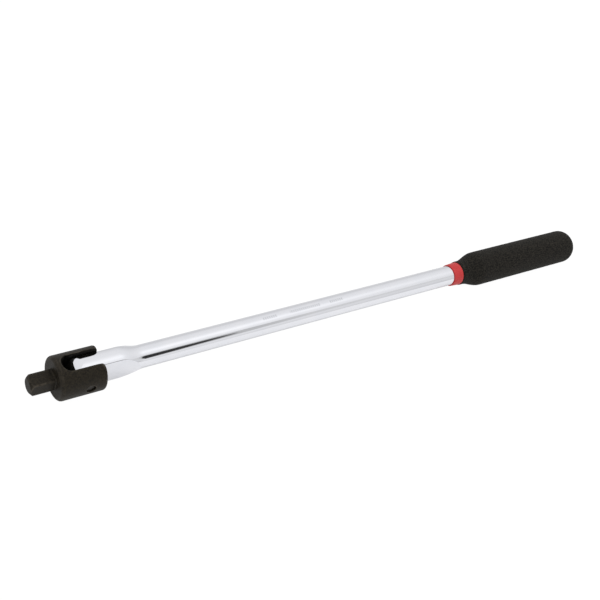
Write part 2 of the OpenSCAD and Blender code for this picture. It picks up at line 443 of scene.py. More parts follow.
    @staticmethod
    def note_bend(piece: bpy.types.Object, points: np.ndarray, quads: np.ndarray) -> None:
        """Stores how far each point stands proud of its neighbours, 0.5 where it is flat.

        Args:
            piece: the piece that takes the attribute edge_bend.
            points: its points in millimetres.
            quads: its faces, all with four corners.
        """
        ends = np.concatenate([quads[:, [i, (i + 1) % 4]] for i in range(4)])
        flow = points.copy()
        for _ in range(6):
            mean, count = np.zeros_like(flow), np.zeros(len(flow))
            for a, b in ((0, 1), (1, 0)):
                np.add.at(mean, ends[:, a], flow[ends[:, b]])
                np.add.at(count, ends[:, a], 1)
            flow = mean / count[:, None]
        normals = np.zeros(len(points) * 3)
        piece.data.vertices.foreach_get("normal", normals)
        proud = np.einsum("ij,ij->i", points - flow, normals.reshape(-1, 3))
        layer = piece.data.attributes.new("edge_bend", "FLOAT", "POINT")
        layer.data.foreach_set("value", np.clip(0.5 + proud * 3, 0, 1).astype(np.float32))


# --------------------------------------------------------------------------- node graphs


class Graph:
    """A node tree, with short calls for the steps that are chained in it."""

    def __init__(self, tree: bpy.types.NodeTree) -> None:
        """Takes a tree.

        Args:
            tree: tree that the steps are added to.
        """
        self.tree = tree

    def add(self, kind: str, inputs: dict | None = None, **settings: object
            ) -> bpy.types.NodeOutputs:
        """Adds a node, as add_node does.

        Args:
            kind: Blender's name for the node type.
            inputs: what goes into its sockets.
            **settings: properties of the node itself.

        Returns:
            Its output sockets.
        """
        return add_node(self.tree, kind, inputs, **settings).outputs

    def calc(self, operation: str, *values: object) -> bpy.types.NodeSocket:
        """One step of arithmetic.

        Args:
            operation: Blender's name for it.
            *values: numbers or sockets that it takes, in order.

        Returns:
            The result.
        """
        return self.add("ShaderNodeMath", dict(enumerate(values)), operation=operation)[0]

    def vector(self, operation: str, *values: object) -> bpy.types.NodeSocket:
        """One step of vector arithmetic.

        Args:
            operation: Blender's name for it.
            *values: vectors, and for SCALE a vector and a number, or their sockets.

        Returns:
            The result, which is a number for lengths and dot products.
        """
        keys = (0, "Scale" if operation == "SCALE" else 1)
        results = self.add("ShaderNodeVectorMath", dict(zip(keys, values)), operation=operation)
        return results["Value" if operation in ("LENGTH", "DOT_PRODUCT") else 0]

    def join(self, x: object, y: object, z: object) -> bpy.types.NodeSocket:
        """Makes a vector from its three parts.

        Args:
            x: first part, a number or socket.
            y: second part.
            z: third part.

        Returns:
            The vector.
        """
        return self.add("ShaderNodeCombineXYZ", {0: x, 1: y, 2: z})[0]

    def split(self, vector: bpy.types.NodeSocket) -> bpy.types.NodeOutputs:
        """Takes a vector apart.

        Args:
            vector: the vector.

        Returns:
            Its three parts.
        """
        return self.add("ShaderNodeSeparateXYZ", {0: vector})

    def spread(self, value: bpy.types.NodeSocket, low: float, high: float, start: float = 0.3,
               end: float = 0.7, kind: str = "LINEAR") -> bpy.types.NodeSocket:
        """Maps a stretch of a value onto another, clamped.

        Args:
            value: what is mapped.
            low: result at the start of the stretch.
            high: result at its end.
            start: where the stretch starts.
            end: where it ends.
            kind: how it runs from one to the other.

        Returns:
            The mapped value.
        """
        return self.add("ShaderNodeMapRange", {
            "Value": value, "From Min": start, "From Max": end, "To Min": low, "To Max": high},
            interpolation_type=kind)[0]

    def tint(self, share: bpy.types.NodeSocket, first: object, second: object
             ) -> bpy.types.NodeSocket:
        """Mixes two colours.

        Args:
            share: share of the second colour.
            first: hex colour or colour socket where the share is 0.
            second: hex colour or colour socket where the share is 1.

        Returns:
            The mixed colour.
        """
        ends = [linear(c) if isinstance(c, str) else c for c in (first, second)]
        return self.add("ShaderNodeMix", {0: share, 6: ends[0], 7: ends[1]},
                        data_type="RGBA")[2]


# --------------------------------------------------------------------------- finishes


@dataclass(frozen=True)
class Finish:
    """A surface: what it is made of and how its surface was made."""

    name: str
    colour: str
    metallic: float
    roughness: float


class Paint(Graph):
    """A material in the making: its shader and the Object coordinates it is patterned by."""

    def __init__(self, finish: Finish) -> None:
        """Starts the material.

        Args:
            finish: the surface that it shows.
        """
        self.material = bpy.data.materials.new(finish.name)
        self.material.use_nodes = True
        super().__init__(self.material.node_tree)
        self.shader = self.tree.nodes["Principled BSDF"]
        self.feed({"Base Color": linear(finish.colour), "Metallic": finish.metallic,
                   "Roughness": finish.roughness})
        self.place = self.add("ShaderNodeTexCoord")["Object"]

    def feed(self, inputs: dict) -> None:
        """Fills or links the shader's own sockets.

        Args:
            inputs: socket name to a value, or to the output socket that feeds it.
        """
        plug(self.tree, self.shader, inputs)

    def scaled(self, size: Sequence[float]) -> bpy.types.NodeSocket:
        """Coordinates in which one unit is a real size.

        Args:
            size: the size along X, Y and Z, in millimetres.

        Returns:
            The coordinates.
        """
        return self.add("ShaderNodeMapping", {
            "Vector": self.place, "Scale": tuple(1 / (s * MM) for s in size)})[0]

    def grain(self, size: Sequence[float], detail: float = 3.0) -> bpy.types.NodeSocket:
        """Noise whose grains have a real size along each axis.

        Args:
            size: grain size along X, Y and Z, in millimetres.
            detail: how many finer layers it has.

        Returns:
            The noise value, from 0 to 1.
        """
        return self.add("ShaderNodeTexNoise", {
            "Vector": self.scaled(size), "Scale": 1.0, "Detail": detail})[0]

    def relief(self, height: bpy.types.NodeSocket, depth: float, strength: float = 1.0) -> None:
        """Gives the shader a bump of a real depth.

        Args:
            height: pattern from 0 to 1.
            depth: height of the relief, in millimetres.
            strength: share of the bump that is used.
        """
        self.feed({"Normal": self.add("ShaderNodeBump", {
            "Height": height, "Distance": depth * MM, "Strength": strength})[0]})


@dataclass(frozen=True)
class ChromePlate(Finish):
    """Bright chrome over nickel on polished steel: a cool mirror with faint belt lines."""

    name: str = "polished_chrome_plate"
    colour: str = "#E7E8EC"
    metallic: float = 1.0
    roughness: float = 0.06
    line_gap: float = 0.45
    line_length: float = 60.0
    etch_groups: tuple[tuple[float, float], ...] = ((208.0, 222.0), (236.0, 268.0), (279.0, 294.0))
    etch_pitch: float = 2.1
    etch_share: float = 0.62
    etch_turn: float = -0.12
    etch_half_height: float = 1.3
    etch_strength: float = 0.32
    bar_radius: float = 9.5

    def material(self) -> bpy.types.Material:
        """Mirror chrome; the lines of the last polishing belt run along the bar.

        Returns:
            The finished material.
        """
        paint = Paint(self)
        # belt lines are a few hundredths wide; drawn at 0.45 mm so that they show at all
        lines = paint.grain((self.line_length, self.line_gap, self.line_gap), 2.0)
        # slow waviness that the forging leaves under the plating, about 38 mm long
        wave = paint.grain((38.0, 9.0, 9.0), 1.0)
        cloud = paint.grain((14.0, 14.0, 14.0), 4.0)
        marks = self.etched_marks(paint)
        plain = paint.tint(cloud, "#E3E5EA", "#ECECEF")
        belt = paint.spread(lines, 0.045, 0.085)
        paint.feed({"Base Color": paint.tint(marks, plain, "#8E9096"),
                    "Roughness": paint.calc("MULTIPLY_ADD", marks, 0.3, belt)})
        paint.relief(paint.calc("MULTIPLY_ADD", lines, 0.02, wave), 0.05, 0.6)
        return paint.material

    def etched_marks(self, paint: Paint) -> bpy.types.NodeSocket:
        """Plain groups of short etched ticks along the top of the bar, no letters or figures.

        Args:
            paint: the material in the making.

        Returns:
            How deep the plating is etched, zero where it isn't.
        """
        along, across, up = paint.split(paint.place)
        groups = None
        for low, high in self.etch_groups:
            group = paint.calc("COMPARE", along, (low + high) / 2 * MM, (high - low) / 2 * MM)
            groups = group if groups is None else paint.calc("ADD", groups, group)
        height = paint.calc("COMPARE", paint.calc("ARCTAN2", across, up), self.etch_turn,
                            self.etch_half_height / self.bar_radius)
        phase = paint.calc("FLOORED_MODULO", along, self.etch_pitch * MM)
        tick = paint.calc("LESS_THAN", phase, self.etch_pitch * MM * self.etch_share)
        ticks = paint.calc("MULTIPLY", paint.calc("MULTIPLY", groups, height), tick)
        return paint.calc("MULTIPLY", ticks, self.etch_strength)


@dataclass(frozen=True)
class PhosphatedSteel(Finish):
    """Oiled black phosphate on forged steel: a dark, brownish, fine-grained matt coat."""

    name: str = "black_phosphated_forging"
    colour: str = "#2B2823"
    metallic: float = 0.0
    roughness: float = 0.55
    worn_colour: str = "#575046"
    slot_centre: float = 32.0
    slot_edge: tuple[float, float] = (7.35, 7.75)

    def material(self) -> bpy.types.Material:
        """Matt coat with grit-blast grain, rubbed lighter on its edges, and painted near black
        inside the slot as shade.

        Returns:
            The finished material.
        """
        paint = Paint(self)
        # the blast grain under the coat is about 0.4 mm; drawn at 1.2 mm so that it shows
        grain = paint.grain((1.2, 1.2, 1.2), 5.0)
        patches = paint.grain((6.0, 6.0, 6.0), 4.0)
        base = paint.tint(paint.spread(grain, 0.0, 1.0, 0.36, 0.64), "#080706", "#2B261D")
        base = paint.tint(paint.spread(patches, 0.0, 0.4), base, "#17140F")
        bend = paint.add("ShaderNodeAttribute", attribute_name="edge_bend")["Fac"]
        edge = paint.spread(bend, 0.0, 0.55, 0.62, 0.95)
        broken = paint.calc("MULTIPLY", edge, paint.spread(patches, 0.0, 1.0, 0.4, 0.6))
        worn = paint.tint(broken, base, self.worn_colour)
        # painted shade: inside the slot the coat is painted near black, with less specular, for
        # the shade that falls between the ears
        slot = self.slot_painted_shade(paint)
        paint.feed({"Specular Tint": linear("#FFF6E6"),
                    "Base Color": paint.tint(slot, worn, "#050504"),
                    "Specular IOR Level": paint.spread(slot, 0.2, 0.07, 0.0, 1.0),
                    "Roughness": paint.calc("MULTIPLY_ADD", broken, -0.12,
                                            paint.spread(grain, 0.42, 0.6))})
        paint.relief(grain, 0.2)
        return paint.material

    def slot_painted_shade(self, paint: Paint) -> bpy.types.NodeSocket:
        """Painted shade: near one inside the fork's slot, whose end is round, and zero elsewhere.

        Args:
            paint: the material in the making.

        Returns:
            The mask of painted shade.
        """
        x, y, _ = paint.split(paint.place)
        short = paint.calc("MAXIMUM", paint.calc("SUBTRACT", self.slot_centre * MM, x), 0.0)
        away = paint.vector("LENGTH", paint.join(short, y, 0.0))
        start, end = self.slot_edge
        return paint.spread(away, 0.92, 0.0, start * MM, end * MM)


@dataclass(frozen=True)
class TurnedSteel(Finish):
    """Bare or oiled steel left from the lathe or grinder: grey metal with fine rings."""

    name: str = "ground_steel"
    colour: str = "#8B8D90"
    metallic: float = 1.0
    roughness: float = 0.28
    streak: tuple[float, float, float] = (0.25, 0.25, 0.25)
    dull_colour: str = "#6E6F72"

    def material(self) -> bpy.types.Material:
        """Metal with tool marks and a thin uneven film of oil.

        Returns:
            The finished material.
        """
        paint = Paint(self)
        marks = paint.grain(self.streak)
        film = paint.grain((1.6, 1.6, 1.6), 2.0)
        paint.feed({"Base Color": paint.tint(film, self.dull_colour, self.colour),
                    "Roughness": paint.spread(marks, self.roughness - 0.06,
                                              self.roughness + 0.1)})
        paint.relief(marks, 0.01, 0.5)
        return paint.material


@dataclass(frozen=True)
class MouldedPolypropylene(Finish):
    """Red polypropylene from a spark-eroded mould: even colour with a soft satin skin."""

    name: str = "moulded_red_polypropylene"
    colour: str = "#C93434"
    metallic: float = 0.0
    roughness: float = 0.42

    def material(self) -> bpy.types.Material:
        """Satin plastic with fine mould texture and faint flow shading.

        Returns:
            The finished material.
        """
        paint = Paint(self)
        # spark erosion leaves craters of about 0.15 mm; drawn at 0.3 mm so that they show
        skin = paint.grain((0.3, 0.3, 0.3), 2.0)
        flow = paint.grain((4.0, 7.0, 7.0), 2.0)
        paint.feed({"Specular IOR Level": 0.4, "Subsurface Weight": 0.08,
                    "Subsurface Radius": (0.002, 0.0006, 0.0004),
                    "Base Color": paint.tint(flow, "#B42829", "#C83232"),
                    "Roughness": paint.spread(skin, 0.36, 0.5)})
        paint.relief(skin, 0.02, 0.5)
        return paint.material


@dataclass(frozen=True)
class NitrileFoam(Finish):
    """Closed-cell nitrile foam, ground to shape: soft black, matt, with open pores."""

    name: str = "black_nitrile_foam"
    colour: str = "#1D1C1A"
    metallic: float = 0.0
    roughness: float = 0.93
    pore: float = 0.9

    def material(self) -> bpy.types.Material:
        """Matt foam with pores painted darker as shade inside them, paler cut walls between them
        and dusty patches.

        Returns:
            The finished material.
        """
        paint = Paint(self)
        # the foam's cells are about 0.2 mm; drawn at 0.9 mm so that they show in the render
        cells = paint.add("ShaderNodeTexVoronoi", {
            "Vector": paint.scaled((self.pore,) * 3), "Scale": 1.0})[0]
        speckle = paint.grain((1.2, 1.2, 1.2))
        dust = paint.grain((11.0, 11.0, 11.0))
        walls = paint.tint(paint.spread(speckle, 0.0, 1.0, 0.41, 0.59), "#050504", "#2D2A24")
        base = paint.tint(paint.spread(dust, 0.0, 0.35), walls, "#211F1B")
        # painted shade: the middle of each pore is painted near black (#0A0A09) for the shade
        # inside it
        paint.feed({"Specular IOR Level": 0.16, "Sheen Weight": 0.03, "Sheen Roughness": 0.5,
                    "Base Color": paint.tint(paint.spread(cells, 1.0, 0.0, 0.08, 0.3), base,
                                             "#0A0A09"),
                    "Roughness": paint.spread(speckle, 0.88, 0.98)})
        paint.relief(paint.calc("ADD", cells, speckle), 0.12, 0.6)
        return paint.material


class Metal(Enum):
    """The small steel parts, each with the finish that its making leaves."""

    PIN = TurnedSteel("blackened_pin_steel", "#3B3833", 0.6, 0.42, (0.25, 3.0, 0.25), "#2A2723")
    BALL = TurnedSteel("hardened_ball_steel", "#C4C7CB", 1.0, 0.14, (0.4, 0.4, 0.4), "#A9ACB0")
    PLUNGER = TurnedSteel("turned_plunger_steel", "#A7A9AC", 1.0, 0.25, (0.2, 2.0, 2.0), "#85878B")
    SPRING = TurnedSteel("drawn_spring_wire", "#9A9C9F", 1.0, 0.3, (0.3, 0.3, 0.3), "#737578")


# --------------------------------------------------------------------------- pieces


@dataclass
class Assembly:
    """Pieces that belong together. Each is dressed and given its body."""

    pieces: list[bpy.types.Object] = field(default_factory=list)

    def keep(self, piece: bpy.types.Object, material: bpy.types.Material, body: str, node: str,
             slot: str) -> bpy.types.Object:
        """Dresses a piece and ties it to the CAD.

        Args:
            piece: the finished mesh object.
            material: its surface.
            body: CAD body that it moves with.
            node: CAD node that it stands for.
            slot: material slot of the record that it takes its finish from; not used.

        Returns:
            The same object.
        """
        piece.data.materials.clear()
        piece.data.materials.append(material)
        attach(piece, body)
        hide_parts(node)
        self.pieces.append(piece)
        log.info("%s: %d faces, rides on %s", piece.name, len(piece.data.polygons), body)
        return piece


class Rule(Graph):
    """A Geometry Nodes rule that grows one piece from named sizes."""

    def __init__(self, name: str, inputs: dict[str, str]) -> None:
        """Starts the rule.

        Args:
            name: name of its node group.
            inputs: kind of each named input; Surface is its material.
        """
        super().__init__(bpy.data.node_groups.new(name, "GeometryNodeTree"))
        sockets = self.tree.interface
        for label, kind in inputs.items():
            sockets.new_socket(label, in_out="INPUT", socket_type="NodeSocket" + kind)
        sockets.new_socket("Geometry", in_out="OUTPUT", socket_type="NodeSocketGeometry")
        self.given = self.add("NodeGroupInput")

    def close(self, shape: bpy.types.NodeSocket) -> None:
        """Smooths and dresses the shape, and makes it the rule's result.

        Args:
            shape: the finished geometry.
        """
        smooth = self.add("GeometryNodeSetShadeSmooth", {"Geometry": shape})[0]
        real = self.add("GeometryNodeRealizeInstances", {"Geometry": smooth})[0]
        dressed = self.add("GeometryNodeSetMaterial", {
            "Geometry": real, "Material": self.given["Surface"]})[0]
        self.add("NodeGroupOutput", {"Geometry": dressed})

    def grow(self, name: str, sizes: dict[str, object]) -> bpy.types.Object:
        """Runs the rule and keeps its result as a plain mesh.

        Args:
            name: name of the piece.
            sizes: value of each named input.

        Returns:
            The finished object, with no modifier left on it.
        """
        seed = linked(name, bpy.data.meshes.new(name + "_seed"))
        step = seed.modifiers.new("rule", "NODES")
        step.node_group = self.tree
        for item in self.tree.interface.items_tree:
            if item.item_type == "SOCKET" and item.in_out == "INPUT":
                step[item.identifier] = sizes[item.name]
        view = bpy.context.evaluated_depsgraph_get()
        mesh = bpy.data.meshes.new_from_object(seed.evaluated_get(view), depsgraph=view)
        seed.modifiers.clear()
        seed.data = mesh
        mesh.name = name
        MeshMaker.face_outwards(seed)
        return seed


class WoundSpring(Rule):
    """Winds a round wire into a coil."""

    def __init__(self) -> None:
        """Builds the rule."""
        super().__init__("wound_spring", {
            "Turns": "Float", "Coil radius": "Float", "Height": "Float", "Wire radius": "Float",
            "Steps per turn": "Int", "Wire sides": "Int", "Place": "Vector", "Turn": "Vector",
            "Surface": "Material"})
        given = self.given
        spiral = self.add("GeometryNodeCurveSpiral", {
            "Resolution": given["Steps per turn"], "Rotations": given["Turns"],
            "Start Radius": given["Coil radius"], "End Radius": given["Coil radius"],
            "Height": given["Height"]})[0]
        wire = self.add("GeometryNodeCurvePrimitiveCircle", {
            "Resolution": given["Wire sides"], "Radius": given["Wire radius"]}, mode="RADIUS")[0]
        swept = self.add("GeometryNodeCurveToMesh", {
            "Curve": spiral, "Profile Curve": wire, "Fill Caps": True})[0]
        self.close(self.add("GeometryNodeTransform", {
            "Geometry": swept, "Translation": given["Place"], "Rotation": given["Turn"]})[0])


@cache
def spring_rule() -> WoundSpring:
    """Builds the winding rule the first time it is asked for.

    Returns:
        The rule that all springs share.
    """
    return WoundSpring()


@dataclass
class WireCoil:
    """A compression spring wound by a Geometry Nodes rule, in millimetres."""

    name: str
    node: str
    start: tuple[float, float, float]
    length: float
    outer_radius: float
    turns: float
    upright: bool
    wire_radius: float = 0.25
    wire_sides: int = 12
    steps_per_turn: int = 28

    def build(self, surface: bpy.types.Material) -> bpy.types.Object:
        """Winds the spring and makes it a plain mesh.

        Args:
            surface: material of the wire.

        Returns:
            The finished object.
        """
        turn = (0.0, 0.0, 0.0) if self.upright else (0.0, math.pi / 2, 0.0)
        lift = (0, 0, self.wire_radius) if self.upright else (self.wire_radius, 0, 0)
        place = tuple((a + b) * MM for a, b in zip(self.start, lift))
        return spring_rule().grow(self.name, {
            "Turns": self.turns, "Coil radius": (self.outer_radius - self.wire_radius) * MM,
            "Height": (self.length - 2 * self.wire_radius) * MM,
            "Wire radius": self.wire_radius * MM, "Steps per turn": self.steps_per_turn,
            "Wire sides": self.wire_sides, "Place": place, "Turn": turn, "Surface": surface})


@dataclass
class SwivelHead(Assembly):
    """Forged fork head: drive square, round shoulder, two ears, pin, ball and ball spring."""

    square: float = 12.7
    square_length: float = 20.0
    corner_radius: float = 8.5
    tip_radius: float = 5.7
    tip_chamfer: float = 2.2
    radius: float = 18.0
    front_radius: float = 3.0
    rear_radius: float = 2.0
    slot_start: float = 25.0
    slot_half: float = 7.3
    slot_corner: float = 6.5
    ear_corner: float = 5.5
    pin_x: float = 44.2
    pin_radius: float = 3.8
    pin_half: float = 16.2
    ball_x: float = 8.0
    ball_hole: float = 2.56
    ball_lip: float = 2.35
    ball_lip_height: float = 0.3
    ball_hole_top: float = 3.25
    cell: float = 0.42
    end_x: float = 58.0
    ear_top: float = 16.45
    ear_edge: float = 0.9
    square_edge: float = 0.25
    turned_edge: float = 0.35
    tip_edge: float = 0.4
    square_root: float = 1.1
    slot_edge: float = 0.8
    bore_edge: float = 0.3
    hole_edge: float = 0.12

    @classmethod
    def from_frame(cls) -> "SwivelHead":
        """Takes the sizes that the CAD nodes' boxes give.

        Returns:
            A head whose outer sizes and places are the frame's.
        """
        _, high = node_span("drive_head")
        pin_low, pin_high = node_span("hinge_pin")
        ball_low, ball_high = node_span("socket_ball")
        return cls(radius=float(high[1]), pin_x=float(pin_low[0] + pin_high[0]) / 2,
                   pin_radius=float(pin_high[0] - pin_low[0]) / 2, pin_half=float(pin_high[1]),
                   ball_x=float(ball_low[0] + ball_high[0]) / 2, end_x=float(high[0]),
                   ear_top=math.sqrt(float(high[1]) ** 2 - cls.slot_half ** 2))

    def distance(self, p: np.ndarray) -> np.ndarray:
        """Distance field of the forging.

        Args:
            p: rows of points in millimetres.

        Returns:
            Signed distance of each point, negative in the steel.
        """
        x, y, z = p[:, 0], p[:, 1], p[:, 2]
        out = np.hypot(y, z)
        middle = (self.square_length + self.end_x) / 2
        half = self.end_x - middle
        edge = np.where(x < middle, self.front_radius, self.rear_radius)
        body = rounded_rectangle(np.abs(x - middle) - half, out - self.radius, edge)
        past = x - (self.end_x - self.ear_corner)
        above = np.maximum(np.abs(z) - (self.ear_top - self.ear_corner), 0)
        ear = np.where(past > 0, np.hypot(past, above), above + past) - self.ear_corner
        body = smooth_max(body, ear, self.ear_edge)
        side = self.square / 2
        bar = rounded_rectangle(np.abs(y) - side, np.abs(z) - side, self.square_edge)
        bar = smooth_max(bar, out - self.corner_radius, self.turned_edge)
        slope = (self.corner_radius - self.tip_radius) / self.tip_chamfer
        cone = (out - self.tip_radius - slope * x) / math.hypot(1, slope)
        bar = smooth_max(bar, cone, self.tip_edge)
        bar = smooth_max(bar, np.maximum(-x, x - self.square_length - 2),
                         self.turned_edge)
        solid = smooth_min(body, bar, self.square_root)
        slot = rounded_rectangle(self.slot_start - x, np.abs(y) - self.slot_half,
                                 self.slot_corner)
        solid = smooth_max(solid, -slot, self.slot_edge)
        bore = np.hypot(x - self.pin_x, z) - self.pin_radius
        solid = smooth_max(solid, -bore, self.bore_edge)
        mouth = z < -side + self.ball_lip_height
        hole = np.hypot(x - self.ball_x, y) - np.where(mouth, self.ball_lip, self.ball_hole)
        hole = np.maximum(hole, z - self.ball_hole_top)
        return smooth_max(solid, -hole, self.hole_edge)

    def build(self) -> None:
        """Makes and dresses the head's pieces."""
        forging = MeshMaker.skin("forged_fork_head", self.distance,
                                 (-1.03, -self.radius - 1.02, -self.radius - 1.02),
                                 (self.end_x + 1.0, self.radius + 1.0, self.radius + 1.0),
                                 self.cell)
        self.keep(forging, PhosphatedSteel().material(), "head", "drive_head",
                  "phosphated_steel")
        self.keep(self.pin(), Metal.PIN.value.material(), "head", "hinge_pin", "pin_steel")
        low, high = node_span("socket_ball")
        ball_radius = float(high[2] - low[2]) / 2
        self.keep(self.ball("detent_ball", (low + high) / 2, ball_radius),
                  Metal.BALL.value.material(), "socket_ball", "socket_ball", "ball_steel")
        low, high = node_span("socket_ball_spring")
        coil = WireCoil("ball_spring_coil", "socket_ball_spring",
                        (self.ball_x, 0.0, float(low[2])), float(high[2] - low[2]), 2.44, 5.0,
                        True)
        surface = Metal.SPRING.value.material()
        self.keep(coil.build(surface), surface, "head", coil.node, "spring_steel")

    def pin(self) -> bpy.types.Object:
        """The pressed pin, with chamfered ends and the shallow centre that the lathe leaves.

        Returns:
            The pin's object.
        """
        end, r = self.pin_half, self.pin_radius
        outline = [(-end + 0.55, 0.0, 0), (-end, 0.9, 0.2), (-end, r - 0.6, 0.15),
                   (-end + 0.6, r, 0.2), (end - 0.6, r, 0.2), (end, r - 0.6, 0.15),
                   (end, 0.9, 0.2), (end - 0.55, 0.0, 0)]
        return MeshMaker.turned("swivel_pin", rounded_path(outline, 3), (self.pin_x, 0, 0),
                                Axis.ACROSS, 64)

    @staticmethod
    def ball(name: str, centre: Sequence[float], radius: float) -> bpy.types.Object:
        """The detent ball.

        Args:
            name: name of the piece.
            centre: its centre in millimetres.
            radius: its radius in millimetres.

        Returns:
            The ball's object.
        """
        angles = np.linspace(0, math.pi, 33)
        profile = np.column_stack([-radius * np.cos(angles), radius * np.sin(angles)])
        profile[0][1] = profile[-1][1] = 0.0
        return MeshMaker.turned(name, profile, centre, Axis.UPRIGHT, 48)


@dataclass
class Lever(Assembly):
    """Chromed bar: bored flat tongue, S-curved neck, round shank, plunger and its spring."""

    pin_x: float = 44.2
    bore: float = 3.85
    tongue_radius: float = 13.7
    tongue_half: float = 7.1
    neck_start: float = 72.0
    neck_length: float = 22.0
    shank_radius: float = 9.5
    end_x: float = 590.0
    run_out: float = 60.0
    edge: float = 0.9
    chamfer: float = 1.0
    sides: int = 128
    nose_hole: float = 2.06
    guide_hole: float = 2.56
    guide_start: float = 31.5
    hole_end: float = 38.26

    @classmethod
    def from_frame(cls) -> "Lever":
        """Takes the bar's length and the pin's place from the frame.

        Returns:
            The lever with those sizes.
        """
        _, high = node_span("lever_bar")
        pin_low, pin_high = node_span("hinge_pin")
        return cls(end_x=float(high[0]), pin_x=float(pin_low[0] + pin_high[0]) / 2,
                   tongue_radius=float(high[2]),
                   hole_end=float(node_span("plunger_spring")[1][0]) + 0.1)

    def radius_at(self, x: float) -> float:
        """Radius of the turned outline at a place along the bar.

        Args:
            x: place along the bar, in millimetres.

        Returns:
            The radius in millimetres.
        """
        t = min(max((x - self.neck_start) / self.neck_length, 0), 1)
        drop = self.tongue_radius - self.shank_radius
        return self.tongue_radius - drop * (1 - math.cos(math.pi * t)) / 2

    def half_width_at(self, x: float) -> float:
        """Half distance between the milled flats, which run out in a long curve.

        Args:
            x: place along the bar, in millimetres.

        Returns:
            The half width in millimetres.
        """
        past = min(max(x - self.neck_start, 0), self.run_out)
        return self.tongue_half + self.run_out - math.sqrt(self.run_out ** 2 - past ** 2)

    def quarter(self, x: float, count: int) -> np.ndarray:
        """A quarter of the bar's section, from its side to its top.

        Args:
            x: place along the bar, in millimetres.
            count: number of points, both ends among them.

        Returns:
            Rows of Y and Z, spread by length and by how fast the outline turns.
        """
        big = self.radius_at(x)
        half = min(self.half_width_at(x), big)
        soft = self.edge
        centre = math.sqrt(max((big - soft) ** 2 - (half - soft) ** 2, 0))
        lean = math.atan2(centre, half - soft)
        fan = np.linspace(0, lean, 40)
        arc = np.linspace(lean, math.pi / 2, 200)
        side = np.linspace(0, centre, 120)
        y = np.concatenate([np.full(120, half), half - soft + soft * np.cos(fan),
                            big * np.cos(arc)])
        z = np.concatenate([side, centre + soft * np.sin(fan), big * np.sin(arc)])
        behind = self.pin_x - x
        if behind > 0:
            over = np.clip(y - (self.tongue_half - soft), 0, soft)
            reach = self.tongue_radius - soft + np.sqrt(np.maximum(soft ** 2 - over ** 2, 0))
            cap = np.sqrt(np.maximum(reach ** 2 - behind ** 2, 0))
            z = np.minimum(z, cap)
        step = np.hypot(np.diff(y), np.diff(z))
        good = np.concatenate([[True], step > 1e-7])
        y, z = y[good], z[good]
        dy, dz = np.diff(y), np.diff(z)
        run = np.concatenate([[0], np.cumsum(np.hypot(dy, dz))])
        heading = np.unwrap(np.arctan2(dz, dy))
        turn = np.concatenate([[0], np.abs(np.diff(heading)), [0]])
        turned = np.cumsum(turn)
        weight = 0.5 * run / run[-1] + 0.5 * turned / max(turned[-1], 1e-9)
        want = np.linspace(0, weight[-1], count)
        return np.column_stack([np.interp(want, weight, y), np.interp(want, weight, z)])

    def stations(self) -> list[float]:
        """Places along the bar where its section is taken.

        Returns:
            The places in millimetres, close together where the shape changes.
        """
        round_end = self.pin_x - self.tongue_radius * np.cos(np.radians(np.linspace(1.5, 90, 40)))
        straight = np.arange(self.pin_x + 1.5, self.neck_start - 0.2, 1.5)
        neck = np.arange(self.neck_start, self.neck_start + self.neck_length + 2, 0.5)
        shank = np.linspace(neck[-1] + 4, self.end_x - self.chamfer, 40)
        return [*round_end, *straight, *neck, *shank]

    def build(self) -> None:
        """Makes and dresses the bar, the plunger and its spring."""
        self.keep(self.bar(), ChromePlate().material(), "handle", "lever_bar", "chrome_plate")
        self.keep(self.plunger(), Metal.PLUNGER.value.material(), "friction_plunger",
                  "friction_plunger", "pin_steel")
        low, high = node_span("plunger_spring")
        coil = WireCoil("plunger_spring_coil", "plunger_spring", (float(low[0]), 0.0, 0.0),
                        float(high[0] - low[0]), 2.44, 3.0, False)
        surface = Metal.SPRING.value.material()
        self.keep(coil.build(surface), surface, "handle", coil.node, "spring_steel")

    def bar(self) -> bpy.types.Object:
        """Lofts the bar through its sections and drills it.

        Returns:
            The bar's object.
        """
        count = self.sides // 4 + 1
        rows = [(x, self.full_ring(self.quarter(x, count))) for x in self.stations()]
        last = rows[-1][1]
        rows.append((self.end_x, last * (self.shank_radius - self.chamfer) / self.shank_radius))
        points = np.concatenate([np.column_stack([np.full(self.sides, x), ring])
                                 for x, ring in rows])
        n, faces = self.sides, []
        for i in range(len(rows) - 1):
            for k in range(n):
                m = (k + 1) % n
                faces.append((i * n + k, i * n + m, (i + 1) * n + m, (i + 1) * n + k))
        # the round end closes in a narrow strip between its upper and lower half
        for k in range(n // 2):
            a, b, c, d = k, k + 1, (n - k - 1) % n, (n - k) % n
            face = [v for i, v in enumerate((a, b, c, d)) if v not in (a, b, c, d)[:i]]
            if len(face) > 2:
                faces.append(tuple(reversed(face)))
        base = (len(rows) - 1) * n
        points = np.concatenate([points, [[self.end_x, 0, 0]]])
        for k in range(n):
            faces.append((len(points) - 1, base + (k + 1) % n, base + k))
        bar = MeshMaker.piece("chromed_lever_bar", points, faces, 35.0)
        MeshMaker.face_outwards(bar)
        bore = MeshMaker.turned("bore", np.array([[-9, 0], [-9, self.bore], [9, self.bore],
                                                  [9, 0]], float),
                                (self.pin_x, 0, 0), Axis.ACROSS, 96)
        start = self.pin_x - self.tongue_radius - 1
        well = np.array([[start, 0], [start, self.nose_hole], [self.guide_start, self.nose_hole],
                         [self.guide_start, self.guide_hole], [self.hole_end, self.guide_hole],
                         [self.hole_end, 0]], float)
        drill = MeshMaker.turned("drill", well, (0, 0, 0), Axis.ALONG, 48)
        MeshMaker.cut(bar, [bore, drill])
        return bar

    @staticmethod
    def full_ring(quarter: np.ndarray) -> np.ndarray:
        """Mirrors a quarter section to the whole outline.

        Args:
            quarter: rows of Y and Z from the side to the top.

        Returns:
            The outline, anticlockwise seen from the grip, starting at the side.
        """
        q = quarter
        upper = np.concatenate([q[:-1], q[::-1] * [-1, 1]])
        lower = upper[1:-1][::-1] * [1, -1]
        return np.concatenate([upper, lower])

